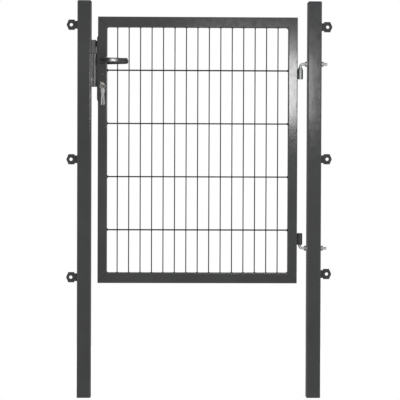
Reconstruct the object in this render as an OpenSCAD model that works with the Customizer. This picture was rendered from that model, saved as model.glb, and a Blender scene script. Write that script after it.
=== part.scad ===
// Single garden gate with a wire mesh leaf, hung between two square posts.
// The lever side faces -Y, the hinge post stands at +X and the latch post at -X.
// The origin is at foot level, in the hinge post's wall that faces the leaf.

/* [Posts] */
// Side of the square posts
post_size = 60; // [50:1:100]
// Wall of the post tubes
post_wall = 2; // [1.5:0.5:3]
// Outside corner radius of the post tubes
post_corner = 5; // [4.5:0.5:8]
// Height of the posts with their caps
post_h = 1730; // [1400:10:2400]
// Height of a cap above its tube
cap_h = 10; // [6:1:20]
// Bevel round the top of a cap
cap_bevel = 4; // [1:0.5:5]
// Depth of a cap's plug inside its tube
cap_plug = 22; // [10:1:40]
// Wall of a cap's plug
cap_wall = 1.2; // [0.8:0.1:1.2]

/* [Lugs] */
// Height of the latch post's low lug above the leaf's lower edge
latch_lug_rise = 24; // [0:1:80]
// Height of the hinge post's low lug above the leaf's lower edge
hinge_lug_rise = 40; // [0:1:80]
// Distance of the latch post's middle lug below the leaf's middle
latch_lug_mid_drop = 41; // [0:1:100]
// Distance of the hinge post's middle lug below the leaf's middle
hinge_lug_mid_drop = 37; // [0:1:100]
// Distance of the latch post's top lug below the leaf's top
latch_lug_drop = 35; // [0:1:80]
// Distance of the hinge post's top lug below the leaf's top
hinge_lug_drop = 40; // [0:1:80]
// Thickness of a lug plate
lug_t = 5; // [3:0.5:10]
// Reach of a lug from its post
lug_reach = 48; // [44:1:80]
// Height of a lug's head
lug_head_h = 45; // [38:1:60]
// Height of a lug's neck
lug_neck_h = 34; // [20:1:36]
// Length of a lug's neck
lug_neck = 13; // [4:1:16]
// Length of the pointed end of a lug
lug_point = 9; // [4:1:12]
// Distance from a lug's tip to its bolt hole
lug_hole_back = 20; // [15:1:22]
// Diameter of a lug's bolt hole
lug_hole_d = 14; // [6:0.5:16]

/* [Leaf] */
// Width of the leaf
leaf_w = 870; // [700:1:1400]
// Height of the leaf
leaf_h = 1160; // [900:10:1500]
// Distance from the tops of the posts down to the leaf's top
leaf_drop = 70; // [40:5:150]
// Gap between the latch post and the leaf
latch_gap = 29; // [28:1:40]
// Gap between the leaf and the hinge post
hinge_gap = 44; // [40:1:60]
// Width of the upright frame tubes
stile_w = 40; // [38:1:50]
// Height of the level frame tubes
rail_h = 45; // [30:1:60]
// Depth of the frame tubes
frame_d = 40; // [36:1:44]
// Wall of the frame tubes
frame_wall = 1.5; // [1:0.5:3]
// Outside corner radius of the frame tubes
frame_corner = 3.5; // [3.5:0.5:6]

/* [Mesh] */
// Distance between upright wires
upright_pitch = 50; // [25:1:100]
// Diameter of the upright wires
upright_d = 5; // [3:0.5:6]
// Distance between level wires
level_pitch = 232; // [50:1:300]
// Diameter of the level wires
level_d = 6; // [3:0.5:8]
// Depth that crossing wires are welded into each other
weld_bite = 1; // [0.8:0.1:1.5]

/* [Hinges] */
// Distance from the leaf's top to the top of the upper sleeve
upper_sleeve_drop = 217; // [120:1:300]
// Height of the lower sleeve's foot above the leaf's lower edge
lower_sleeve_rise = 168; // [110:1:300]
// Outside diameter of the hinge sleeves
sleeve_d = 24; // [20:0.5:28]
// Height of the hinge sleeves
sleeve_h = 51; // [30:1:80]
// Height of the tapered nose of the upper sleeve
sleeve_nose = 13; // [4:1:20]
// Thickness of a sleeve's closed end
sleeve_floor = 4; // [2:0.5:8]
// Gap between a sleeve and its stile, filled by the weld web
sleeve_gap = 1; // [0.5:0.5:3]
// Thickness of the weld web
web_t = 8; // [4:0.5:10]
// Distance from a sleeve's ends to the weld web
web_end = 4; // [2:1:8]
// Diameter of the hook rods
rod_d = 12; // [8:0.5:14]
// Radial running clearance of a pin in its sleeve and a lever in its rose
run_fit = 0.1; // [0.05:0.01:0.1]
// Radius of a hook's bend, along the middle of the rod
hook_bend = 13; // [10:0.5:16]
// Clear height between a sleeve and the bend of its hook
hook_lift = 2; // [1:0.5:6]
// Length of thread past the outer nut
thread_out = 16; // [4:1:40]
// Width across the flats of the nuts
nut_af = 19; // [16:0.5:24]
// Thickness of the nuts
nut_t = 9; // [5:0.5:10]
// Diameter of the washers
washer_d = 26; // [20:1:34]
// Thickness of the washers
washer_t = 2; // [1:0.5:3]

/* [Lock] */
// Distance from the leaf's top down to the lever's axis
spindle_drop = 192; // [150:1:300]
// Distance from the leaf's latch side to the lever's axis
backset = 20; // [18:0.5:22]
// Height of the lock's face strip
strip_h = 286; // [240:1:400]
// Height of the face strip's top above the lever's axis
strip_up = 109; // [100:1:160]
// Thickness of the face strip
strip_t = 4; // [2:0.5:6]
// Length of the tapered ends of the face strip
strip_taper = 10; // [5:1:20]
// Width of the lock case inside the stile
case_w = 16; // [14:0.5:20]
// Height of the lock case beyond the latch and the barrel
case_edge = 8; // [4:1:12]
// Height of the latch above the lever's axis
latch_up = 46; // [36:1:60]
// Height of the latch bolt
latch_h = 28; // [20:1:30]
// Thickness of the latch bolt
latch_t = 12; // [8:0.5:12]
// Reach of the latch bolt from the face strip
latch_reach = 15; // [8:0.5:16]
// Travel of the latch bolt
latch_travel = 14; // [6:0.5:14]
// Distance of the dead bolt below the lever's axis
bolt_down = 57; // [50:1:62]
// Height of the dead bolt
bolt_h = 34; // [20:1:36]
// Distance of the key barrel below the lever's axis
barrel_down = 100; // [96:1:115]
// Diameter of the key barrel's round part
barrel_d = 17; // [14:0.5:18]
// Depth of the key barrel's straight leg below the round part's middle
barrel_drop = 19.5; // [14:0.5:20]
// Width of the key barrel's leg
barrel_leg_w = 10; // [8:0.5:12]
// Length that the barrel stands out of the stile on each side
barrel_out = 2.5; // [1:0.5:12]
// Diameter of the two bolts that hold the lock in its stile
lock_bolt_d = 16; // [10:0.5:16]
// Height of the lock bolts' heads
lock_bolt_t = 4; // [2:0.5:6]
// Distance of the upper lock bolt above the lever's axis
lock_bolt_up = 41; // [30:1:60]
// Distance of the lower lock bolt below the lever's axis
lock_bolt_down = 58; // [30:1:70]
// Distance of the lock bolts from the leaf's latch side
lock_bolt_in = 15; // [12:0.5:20]

/* [Lever] */
// Diameter of the round roses under the levers
rose_d = 30; // [26:0.5:34]
// Thickness of the roses
rose_t = 6; // [3:0.5:8]
// Diameter of a lever's neck
neck_d = 20; // [16:0.5:22]
// Diameter of a lever's round root
root_d = 26; // [24:0.5:30]
// Radius of the round edge on a lever's root
root_edge = 3; // [1:0.5:5]
// Distance from the stile to the middle of a lever's blade at its crest
lever_out = 46; // [38:1:70]
// Length of a lever from the axis to its tip
lever_l = 110; // [90:1:140]
// Height of a blade at its root
blade_root_h = 22; // [20:0.5:26]
// Height of a blade at its tip
blade_tip_h = 18.5; // [14:0.5:20]
// Thickness of a blade
blade_t = 12; // [10:0.5:14]
// Radius of the blade's bow, along its middle
blade_bow = 260; // [200:10:500]
// Distance from the axis to the crest of the bow
blade_crest = 20; // [10:1:40]
// Round of the blade's lower corner at the tip
blade_corner = 8; // [4:0.5:9]
// Side of the square spindle
spindle_size = 8; // [6:0.5:10]

/* [Keeper] */
// Height of the keeper
keeper_h = 202; // [190:1:260]
// Height of the keeper's top above the lever's axis
keeper_up = 90; // [80:1:120]
// Reach of the keeper from the latch post
keeper_reach = 19.5; // [18:0.5:20]
// Wall of the keeper
keeper_wall = 3; // [2:0.5:3.5]
// Stand-out of the keeper's two ridges from the leaf's front
ridge_out = 6; // [3:0.5:7]
// Width of the ridges' slanted flanks
ridge_flank = 2.5; // [1:0.5:3]
// Width of the groove between the ridges
groove_w = 3; // [2:0.5:4]
// Width of the slanted face that the latch runs up
keeper_lead = 4; // [2:0.5:5]
// Gap between the closed leaf and the stop behind it
stop_gap = 0.6; // [0.3:0.1:2]
// Overlap of the stop behind the leaf
stop_lap = 3; // [2:0.5:5]
// Height of the square pad at the keeper's top
top_pad_h = 59; // [30:1:60]
// Height of the square band near the keeper's foot
band_h = 10; // [5:1:15]
// Height of the band above the keeper's foot
band_rise = 25; // [5:1:40]
// Stand-out of the pad and the band from the ridges
pad_out = 2; // [1:0.5:3]
// Clearance round the bolts in their slots
slot_gap = 2; // [1:0.5:3]

/* [Keys] */
// Length of the key in the barrel
key_l = 64; // [50:1:66]
// Length of the hanging keys
hanging_key_l = 75; // [50:1:80]
// Thickness of a key
key_t = 2; // [1.8:0.1:2.2]
// Diameter of a key's bow
bow_d = 24; // [20:0.5:28]
// Width of a key's shank
shank_w = 8.5; // [6:0.5:10]
// Diameter of the hole in a bow
bow_hole_d = 7; // [6.6:0.1:8]
// Distance from a bow's rim to the middle of its hole
hole_in = 5.5; // [5.5:0.5:7]
// Diameter of the key ring, along the middle of its wire
ring_d = 22; // [20:1:36]
// Diameter of the key ring's wire
ring_wire = 1.6; // [1.2:0.1:1.8]
// Turn of the key in the barrel from the upright
key_turn = 50; // [40:1:52]
// Lean of the ring where it hangs in the turned key
ring_lean = 9; // [7:0.5:14]
// Turn of the hanging keys about the upright
key_swivel = 30; // [0:1:40]
// Half the angle between the two hanging keys
key_fan = 3; // [2.5:0.5:12]

/* [Hidden] */
$fn = 64;

paint = "#3f4245";
zinc = "#c9ccce";
brass = "#b9a46a";
nylon = "#15161a";

// Small overlap that makes a cut pass right through a face
cut = 1;
// Clearance of a plug, a bolt or a spindle in what guides it
slip = 0.3;
// Clearance of a key in its slot and on its ring
key_fit = 0.2;
// Depth that the spindle enters a lever's neck
spindle_in = 14;

// Places along X, from the hinge post to the latch post
hinge_face_x = -post_wall / 2;
hinge_post_x = hinge_face_x + post_size / 2;
leaf_right = hinge_face_x - hinge_gap;
leaf_left = leaf_right - leaf_w;
latch_face_x = leaf_left - latch_gap;
latch_post_x = latch_face_x - post_size / 2;
pivot_x = leaf_right + sleeve_gap + sleeve_d / 2;
strip_x = leaf_left - strip_t;
spindle_x = leaf_left + backset;
keeper_x = latch_face_x + keeper_reach;

// Heights
leaf_top = post_h - leaf_drop;
leaf_z = leaf_top - leaf_h;
leaf_middle = leaf_z + leaf_h / 2;
spindle_z = leaf_top - spindle_drop;
latch_z = spindle_z + latch_up;
bolt_z = spindle_z - bolt_down;
barrel_z = spindle_z - barrel_down;
upper_sleeve_z = leaf_top - upper_sleeve_drop - sleeve_h;
lower_sleeve_z = leaf_z + lower_sleeve_rise;
upper_rod_z = upper_sleeve_z + sleeve_h + hook_lift + hook_bend;
lower_rod_z = lower_sleeve_z - hook_lift - hook_bend;
tube_h = post_h - cap_h;
latch_lug_low_z = leaf_z + latch_lug_rise;
latch_lug_middle_z = leaf_middle - latch_lug_mid_drop;
latch_lug_top_z = leaf_top - latch_lug_drop;
hinge_lug_low_z = leaf_z + hinge_lug_rise;
hinge_lug_middle_z = leaf_middle - hinge_lug_mid_drop;
hinge_lug_top_z = leaf_top - hinge_lug_drop;

// Places along Y
frame_front = -frame_d / 2;
blade_y = frame_front - lever_out;
keeper_back = frame_d / 2 + stop_gap + keeper_wall;
key_hole_y = frame_front - barrel_out - slip - bow_d + hole_in;

// Middle of the key ring, which hangs in the hole of the key in the barrel
ring_x = spindle_x + ring_d / 2 * sin(ring_lean);
ring_z = barrel_z - ring_d / 2 * cos(ring_lean);

// Sizes worked out from the pieces that meet
sleeve_bore_r = rod_d / 2 + run_fit;
pin_l = sleeve_h - sleeve_floor - slip + hook_lift;
rod_out_x = hinge_face_x + post_size + washer_t + nut_t + thread_out;
case_x = leaf_left;
case_l = stile_w - frame_wall - slip;
case_top = latch_z + latch_h / 2 + case_edge;
case_foot = barrel_z - barrel_drop - barrel_leg_w / 2 - case_edge;

// ---- Outlines ----

// Rectangle with round corners, centred
module rounded_rect(w, d, r) {
    square([w - 2 * r, d], center = true);
    square([w, d - 2 * r], center = true);
    for (sx = [-1, 1], sy = [-1, 1])
        translate([sx * (w / 2 - r), sy * (d / 2 - r)])
            circle(r = r);
}

// Section of a rolled tube
module tube_section(w, d, r, wall) {
    difference() {
        rounded_rect(w, d, r);
        rounded_rect(w - 2 * wall, d - 2 * wall, r - wall);
    }
}

// An outline in X and Z, made into a plate from y0 to y1
module plate_y(y0, y1) {
    translate([0, y1, 0])
        rotate([90, 0, 0])
            linear_extrude(height = y1 - y0)
                children();
}

// ---- Posts ----

module post_tube(x) {
    translate([x, 0, 0])
        linear_extrude(height = tube_h)
            tube_section(post_size, post_size, post_corner, post_wall);
}

module latch_post() {
    color(paint)
        post_tube(latch_post_x);
}

module hinge_post() {
    color(paint)
        difference() {
            post_tube(hinge_post_x);
            for (z = [upper_rod_z, lower_rod_z])
                translate([hinge_face_x - cut, 0, z])
                    rotate([0, 90, 0])
                        cylinder(d = rod_d + 2 * slip, h = post_size + 2 * cut);
        }
}

// Side view of a cap's head, with its bevelled top
module cap_profile() {
    half = post_size / 2;
    polygon([
        [-half, 0], [half, 0], [half, cap_h - cap_bevel], [half - cap_bevel, cap_h],
        [-half + cap_bevel, cap_h], [-half, cap_h - cap_bevel]
    ]);
}

module post_cap(x) {
    plug = post_size - 2 * post_wall - 2 * slip;
    translate([x, 0, tube_h]) {
        intersection() {
            linear_extrude(height = cap_h)
                rounded_rect(post_size, post_size, post_corner);
            plate_y(-post_size, post_size)
                cap_profile();
            rotate([0, 0, 90])
                plate_y(-post_size, post_size)
                    cap_profile();
        }
        translate([0, 0, -cap_plug])
            linear_extrude(height = cap_plug)
                tube_section(plug, plug, post_corner - post_wall, cap_wall);
    }
}

module latch_post_cap() {
    color(nylon)
        post_cap(latch_post_x);
}

module hinge_post_cap() {
    color(nylon)
        post_cap(hinge_post_x);
}

// ---- Fence lugs ----

// Lug outline, from its post at 0 out to its tip
module lug_outline() {
    shoulder = lug_reach - lug_point;
    neck = lug_neck_h / 2;
    head = lug_head_h / 2;
    polygon([
        [0, -neck], [lug_neck - 1, -neck], [lug_neck, 1 - head], [lug_neck + 1, -head],
        [shoulder, -head], [lug_reach, -2], [lug_reach, 2], [shoulder, head],
        [lug_neck + 1, head], [lug_neck, head - 1], [lug_neck - 1, neck], [0, neck]
    ]);
}

module lug(z) {
    translate([0, 0, z])
        difference() {
            plate_y(-lug_t / 2, lug_t / 2)
                lug_outline();
            translate([lug_reach - lug_hole_back, 0, 0])
                rotate([90, 0, 0])
                    cylinder(d = lug_hole_d, h = lug_t + 2 * cut, center = true);
        }
}

module latch_lug(z) {
    color(paint)
        translate([latch_post_x - post_size / 2, 0, 0])
            mirror([1, 0, 0])
                lug(z);
}

module hinge_lug(z) {
    color(paint)
        translate([hinge_post_x + post_size / 2, 0, 0])
            lug(z);
}

// ---- Leaf frame ----

// Tube of the frame that stands upright, with its outer face at x = 0
module stile_tube() {
    translate([stile_w / 2, 0, leaf_z])
        linear_extrude(height = leaf_h)
            tube_section(stile_w, frame_d, frame_corner, frame_wall);
}

// Upright with both ends mitred to meet the rails
module mitred_stile() {
    intersection() {
        stile_tube();
        plate_y(-frame_d, frame_d)
            polygon([
                [0, leaf_z], [stile_w, leaf_z + rail_h],
                [stile_w, leaf_top - rail_h], [0, leaf_top]
            ]);
    }
}

// Level tube with both ends mitred to meet the stiles, its outer face at z = 0
module mitred_rail() {
    intersection() {
        translate([leaf_left, 0, rail_h / 2])
            rotate([90, 0, 90])
                linear_extrude(height = leaf_w)
                    tube_section(frame_d, rail_h, frame_corner, frame_wall);
        plate_y(-frame_d, frame_d)
            polygon([
                [leaf_left, 0], [leaf_right, 0],
                [leaf_right - stile_w, rail_h], [leaf_left + stile_w, rail_h]
            ]);
    }
}

module latch_stile() {
    color(paint)
        difference() {
            translate([leaf_left, 0, 0])
                mitred_stile();
            // Pocket for the lock case in the latch side
            translate([leaf_left - cut, -case_w / 2 - slip, case_foot - slip])
                cube([cut + frame_wall + cut, case_w + 2 * slip, case_top - case_foot + 2 * slip]);
            // Way through both faces for the spindle and the key barrel
            translate([spindle_x, 0, spindle_z])
                rotate([90, 0, 0])
                    cylinder(d = neck_d - 2, h = frame_d + 2 * cut, center = true);
            plate_y(-frame_d / 2 - cut, frame_d / 2 + cut)
                translate([spindle_x, barrel_z])
                    barrel_outline(slip);
        }
}

module hinge_stile() {
    color(paint)
        translate([leaf_right, 0, 0])
            mirror([1, 0, 0])
                mitred_stile();
}

module bottom_rail() {
    color(paint)
        translate([0, 0, leaf_z])
            mitred_rail();
}

module top_rail() {
    color(paint)
        translate([0, 0, leaf_top])
            mirror([0, 0, 1])
                mitred_rail();
}

// ---- Mesh ----

// Double wire mat: upright wires between two layers of level wires, welded where they cross
module mesh_panel() {
    leaf_x = (leaf_left + leaf_right) / 2;
    layer_y = (upright_d + level_d) / 2 - weld_bite;
    clear_w = leaf_w - 2 * stile_w;
    clear_h = leaf_h - 2 * rail_h;
    upright_wires = floor((clear_w - upright_d) / upright_pitch);
    level_wires = floor((clear_h - level_d) / level_pitch);
    color(paint) {
        for (i = [0 : upright_wires - 1])
            translate([leaf_x + (i - (upright_wires - 1) / 2) * upright_pitch, 0, leaf_middle])
                rotate([0, 0, 22.5])
                    cylinder(d = upright_d, h = clear_h, center = true, $fn = 8);
        for (i = [0 : level_wires - 1], side = [-1, 1])
            translate([leaf_x, side * layer_y, leaf_middle + (i - (level_wires - 1) / 2) * level_pitch])
                rotate([0, 90, 0])
                    rotate([0, 0, 22.5])
                        cylinder(d = level_d, h = clear_w, center = true, $fn = 8);
    }
}

// ---- Hinges ----

// Web that welds a sleeve to the stile, from the stile into the sleeve's wall
module sleeve_web(z0, z1) {
    web_l = sleeve_gap + (sleeve_d / 2 - sleeve_bore_r) * 0.6;
    translate([leaf_right, -web_t / 2, z0])
        cube([web_l, web_t, z1 - z0]);
}

// Sleeve with a tapered nose, open at the top for the pin that points down
module upper_sleeve() {
    nose_r = sleeve_bore_r + 2.5;
    straight = sleeve_h - sleeve_nose;
    color(zinc) {
        translate([pivot_x, 0, upper_sleeve_z])
            rotate_extrude()
                polygon([
                    [0, 0], [sleeve_d / 2 - 1, 0], [sleeve_d / 2, 1], [sleeve_d / 2, straight],
                    [nose_r, sleeve_h], [sleeve_bore_r, sleeve_h],
                    [sleeve_bore_r, sleeve_floor], [0, sleeve_floor]
                ]);
        sleeve_web(upper_sleeve_z + web_end, upper_sleeve_z + straight - web_end);
    }
}

// Plain sleeve, open at the foot for the pin that points up
module lower_sleeve() {
    color(paint) {
        translate([pivot_x, 0, lower_sleeve_z])
            rotate_extrude()
                polygon([
                    [sleeve_bore_r, 0], [sleeve_d / 2 - 1, 0], [sleeve_d / 2, 1],
                    [sleeve_d / 2, sleeve_h - 2], [sleeve_d / 2 - 2, sleeve_h], [0, sleeve_h],
                    [0, sleeve_h - sleeve_floor], [sleeve_bore_r, sleeve_h - sleeve_floor]
                ]);
        sleeve_web(lower_sleeve_z + web_end, lower_sleeve_z + sleeve_h - web_end);
    }
}

// Bent rod: level through the post, then a pin that points down from z = 0
module hook() {
    bend_x = pivot_x + hook_bend;
    translate([bend_x, 0, 0])
        rotate([0, 90, 0])
            cylinder(d = rod_d, h = rod_out_x - bend_x - 1);
    translate([rod_out_x - 1, 0, 0])
        rotate([0, 90, 0])
            cylinder(d1 = rod_d, d2 = rod_d - 2, h = 1);
    translate([bend_x, 0, -hook_bend])
        rotate([90, 0, 0])
            rotate([0, 0, 90])
                rotate_extrude(angle = 90)
                    translate([hook_bend, 0])
                        circle(d = rod_d);
    translate([pivot_x, 0, -hook_bend - pin_l + 1])
        cylinder(d = rod_d, h = pin_l - 1);
    translate([pivot_x, 0, -hook_bend - pin_l])
        cylinder(d1 = rod_d - 2, d2 = rod_d, h = 1);
}

module upper_hook() {
    color(zinc)
        translate([0, 0, upper_rod_z])
            hook();
}

module lower_hook() {
    color(zinc)
        translate([0, 0, lower_rod_z])
            mirror([0, 0, 1])
                hook();
}

// Ring on the rod, at x, with a hexagon or a round rim
module rod_ring(x, z, d, t, sides) {
    translate([x, 0, z])
        rotate([0, 90, 0])
            difference() {
                cylinder(d = d, h = t, $fn = sides);
                translate([0, 0, -cut])
                    cylinder(d = rod_d, h = t + 2 * cut);
            }
}

// The two nuts that clamp a hook to its post
module hinge_nuts(z) {
    corner_d = nut_af / cos(30);
    color(zinc) {
        rod_ring(hinge_face_x - washer_t - nut_t, z, corner_d, nut_t, 6);
        rod_ring(hinge_face_x + post_size + washer_t, z, corner_d, nut_t, 6);
    }
}

module hinge_washers(z) {
    color(zinc) {
        rod_ring(hinge_face_x - washer_t, z, washer_d, washer_t, 64);
        rod_ring(hinge_face_x + post_size, z, washer_d, washer_t, 64);
    }
}

// ---- Lock ----

// Outline of the key barrel: a round top over a straight leg
module barrel_outline(grow) {
    leg_w = barrel_leg_w + 2 * grow;
    circle(d = barrel_d + 2 * grow);
    translate([-leg_w / 2, -barrel_drop])
        square([leg_w, barrel_drop]);
    translate([0, -barrel_drop])
        circle(d = leg_w);
}

// Face strip on the leaf's latch side, with slots for both bolts
module lock_strip() {
    z1 = spindle_z + strip_up;
    z0 = z1 - strip_h;
    color(paint)
        difference() {
            plate_y(-frame_d / 2, frame_d / 2)
                polygon([
                    [leaf_left, z0], [leaf_left, z1],
                    [strip_x, z1 - strip_taper], [strip_x, z0 + strip_taper]
                ]);
            translate([strip_x - cut, -latch_t / 2 - slip, latch_z - latch_h / 2 - slip])
                cube([strip_t + 2 * cut, latch_t + 2 * slip, latch_h + 2 * slip]);
            translate([strip_x - cut, -latch_t / 2, bolt_z - bolt_h / 2])
                cube([strip_t + 2 * cut, latch_t, bolt_h]);
        }
}

// Case inside the stile, with the pocket that guides the latch bolt
module lock_case() {
    color(zinc)
        difference() {
            translate([case_x, -case_w / 2, case_foot])
                cube([case_l, case_w, case_top - case_foot]);
            translate([case_x - cut, -latch_t / 2 - slip, latch_z - latch_h / 2 - slip])
                cube([case_l - 2 + cut, latch_t + 2 * slip, latch_h + 2 * slip]);
            translate([case_x - cut, -latch_t / 2, bolt_z - bolt_h / 2])
                cube([26 + cut, latch_t, bolt_h]);
            translate([spindle_x, 0, spindle_z])
                rotate([90, 0, 0])
                    cylinder(d = spindle_size * sqrt(2) + 2, h = case_w + 2 * cut, center = true);
            plate_y(-case_w / 2 - cut, case_w / 2 + cut)
                translate([spindle_x, barrel_z])
                    barrel_outline(0);
        }
}

// Bolt heads that hold the lock, each with a hexagon socket
module lock_bolts() {
    color(paint)
        for (rise = [-lock_bolt_down, lock_bolt_up])
            translate([leaf_left + lock_bolt_in, frame_front - lock_bolt_t, spindle_z + rise])
                rotate([-90, 0, 0])
                    difference() {
                        union() {
                            translate([0, 0, 1.5])
                                cylinder(d = lock_bolt_d, h = lock_bolt_t - 1.5);
                            cylinder(d1 = lock_bolt_d - 3, d2 = lock_bolt_d, h = 1.5);
                        }
                        translate([0, 0, -cut])
                            cylinder(d = lock_bolt_d / 2, h = cut + 2.5, $fn = 6);
                    }
}

// Dead bolt drawn back into the lock
module dead_bolt() {
    color(zinc)
        translate([strip_x + 0.5, -latch_t / 2, bolt_z - bolt_h / 2])
            cube([strip_t + 25.5, latch_t, bolt_h]);
}

// Latch bolt with its slanted nose, guided by the strip and the case
module latch_bolt() {
    tip = strip_x - latch_reach;
    tail = leaf_left + case_l - 2 - latch_travel - 1;
    color(zinc)
        translate([0, 0, latch_z - latch_h / 2])
            linear_extrude(height = latch_h)
                polygon([
                    [tip, -latch_t / 2], [tip, -latch_t / 2 + 3], [strip_x - 1, latch_t / 2],
                    [tail, latch_t / 2], [tail, -latch_t / 2]
                ]);
}

// Barrel with a key slot in each end, the front one turned with its key
module key_barrel() {
    y1 = frame_d / 2 + barrel_out;
    slot_t = key_t + 2 * key_fit;
    slot_h = shank_w + 2 * key_fit;
    rear_slot = 3;
    color(brass)
        difference() {
            plate_y(-y1, y1)
                translate([spindle_x, barrel_z])
                    barrel_outline(0);
            translate([spindle_x, -y1 - cut, barrel_z])
                rotate([0, -key_turn, 0])
                    translate([-slot_t / 2, 0, -slot_h / 2])
                        cube([slot_t, key_l - bow_d + 2 * cut, slot_h]);
            translate([spindle_x - slot_t / 2, y1 - rear_slot, barrel_z - slot_h / 2])
                cube([slot_t, rear_slot + cut, slot_h]);
        }
}

// ---- Roses and levers ----

// Round rose on the front face of the stile, with a bore for the lever's neck
module rose() {
    bore_r = neck_d / 2 + run_fit;
    color(nylon)
        translate([spindle_x, frame_front, spindle_z])
            rotate([90, 0, 0])
                rotate_extrude()
                    polygon([
                        [bore_r, 0], [rose_d / 2, 0], [rose_d / 2, rose_t - 1.5],
                        [rose_d / 2 - 1.5, rose_t], [bore_r, rose_t]
                    ]);
}

module front_lever_rose() {
    rose();
}

module rear_lever_rose() {
    mirror([0, 1, 0])
        rose();
}

module spindle() {
    reach = frame_d / 2 + rose_t + spindle_in;
    color(zinc)
        translate([spindle_x, 0, spindle_z])
            cube([spindle_size, 2 * reach, spindle_size], center = true);
}

// Side outline of a blade, from the axis at 0 out to its tip
module blade_outline() {
    top = blade_root_h / 2;
    foot = top - blade_tip_h - 1.5;
    polygon([
        [0, -top], [lever_l - blade_corner, foot],
        [lever_l - blade_corner * 0.5, foot + blade_corner * 0.15],
        [lever_l - blade_corner * 0.15, foot + blade_corner * 0.5],
        [lever_l, foot + blade_corner], [lever_l, top - 3.5], [lever_l - 2, top - 1.5], [0, top]
    ]);
}

// Blade bent along its bow, with round upper and lower edges
module blade() {
    root_a = asin(blade_crest / blade_bow);
    tip_a = asin((lever_l - blade_crest) / blade_bow) + 1;
    intersection() {
        translate([blade_crest, blade_y + blade_bow, 0])
            rotate([0, 0, -90 - root_a])
                rotate_extrude(angle = root_a + tip_a)
                    translate([blade_bow, 0])
                        rounded_rect(blade_t, blade_root_h, blade_t / 2 - 0.5);
        plate_y(blade_y - blade_t, blade_y + blade_bow)
            blade_outline();
    }
}

// Round root with a soft front edge, from y = 0 towards -Y
module lever_root() {
    r = root_d / 2;
    rotate([90, 0, 0])
        rotate_extrude() {
            square([r, blade_t - root_edge]);
            square([r - root_edge, blade_t]);
            translate([r - root_edge, blade_t - root_edge])
                circle(r = root_edge);
        }
}

// Front lever with its neck, its axis along Y at x = 0 and z = 0
module lever() {
    root_back = blade_y + blade_t / 2 + 1;
    neck_back = frame_front - rose_t / 2;
    color(nylon)
        translate([spindle_x, 0, spindle_z])
            difference() {
                union() {
                    blade();
                    translate([0, root_back, 0])
                        lever_root();
                    translate([0, neck_back, 0])
                        rotate([90, 0, 0])
                            cylinder(d = neck_d, h = neck_back - root_back);
                }
                translate([-spindle_size / 2, -frame_d / 2 - rose_t - spindle_in, -spindle_size / 2])
                    cube([spindle_size, rose_t + spindle_in + cut, spindle_size]);
            }
}

module front_lever() {
    lever();
}

module rear_lever() {
    mirror([0, 1, 0])
        lever();
}

// ---- Keeper ----

// Front of the keeper in plan, standing out as far as y, back to its box
module keeper_front(y) {
    w = keeper_reach;
    polygon([
        [0, y + 1], [1, y], [w - keeper_lead, y],
        [w, y + keeper_lead * 1.3], [w, frame_front + keeper_wall],
        [0, frame_front + keeper_wall]
    ]);
}

// Keeper in plan: a box with two ridges on its front
module keeper_plan() {
    w = keeper_reach;
    ridge_w = (w - groove_w) / 2;
    front = frame_front - ridge_out;
    difference() {
        polygon([
            [0, frame_front], [ridge_flank, front], [ridge_w - ridge_flank, front],
            [ridge_w, frame_front], [ridge_w + groove_w, frame_front],
            [ridge_w + groove_w + 1, front], [w - keeper_lead, front],
            [w, front + keeper_lead * 1.3], [w, keeper_back], [0, keeper_back]
        ]);
        translate([keeper_wall, frame_front + keeper_wall])
            square([w - 2 * keeper_wall, keeper_back - frame_front - 2 * keeper_wall]);
    }
}

// Box that the bolts enter, with a stop behind the leaf
module keeper() {
    z1 = spindle_z + keeper_up;
    z0 = z1 - keeper_h;
    color(paint)
        difference() {
            union() {
                translate([latch_face_x, 0, z0])
                    linear_extrude(height = keeper_h)
                        keeper_plan();
                // Stop that the leaf closes against
                translate([latch_face_x, keeper_back - keeper_wall, z0])
                    cube([latch_gap + stop_lap, keeper_wall, keeper_h]);
                // Square pad and band on the front
                for (pad = [[z1 - top_pad_h, top_pad_h], [z0 + band_rise, band_h]])
                    translate([latch_face_x, 0, pad[0]])
                        linear_extrude(height = pad[1])
                            keeper_front(frame_front - ridge_out - pad_out);
            }
            // Slots for the latch bolt and the dead bolt
            for (slot = [[latch_z, latch_h], [bolt_z, bolt_h]])
                translate([
                    keeper_x - keeper_wall - cut, -latch_t / 2 - slot_gap,
                    slot[0] - slot[1] / 2 - slot_gap
                ])
                    cube([
                        keeper_wall + 2 * cut, latch_t + 2 * slot_gap, slot[1] + 2 * slot_gap
                    ]);
        }
}

// ---- Keys ----

// Outline of a key of length l, with its bow's hole at 0 and its blade along -Y
module key_outline(l) {
    bow_y = hole_in - bow_d / 2;
    tip = hole_in - l;
    half = shank_w / 2;
    difference() {
        union() {
            translate([0, bow_y])
                circle(d = bow_d);
            polygon([
                [-half, bow_y], [-half, tip + 3], [0, tip], [half, tip + 3], [half - 2, tip + 8],
                [half, tip + 12], [half - 2.5, tip + 17], [half, tip + 22], [half - 1.5, tip + 27],
                [half, tip + 32], [half, bow_y]
            ]);
        }
        circle(d = bow_hole_d);
    }
}

// Key in the YZ plane with its hole at the origin and its blade down
module upright_key(l) {
    rotate([90, 0, 90])
        translate([0, 0, -key_t / 2])
            linear_extrude(height = key_t)
                key_outline(l);
}

module key_in_barrel() {
    color(zinc)
        translate([spindle_x, key_hole_y, barrel_z])
            rotate([0, -key_turn, 0])
                rotate([90, 0, 0])
                    upright_key(key_l);
}

// Ring through the bow of the key in the barrel
module key_ring() {
    color(zinc)
        translate([ring_x, key_hole_y, ring_z])
            rotate([90, 0, 0])
                rotate_extrude()
                    translate([ring_d / 2, 0])
                        circle(d = ring_wire);
}

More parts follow.
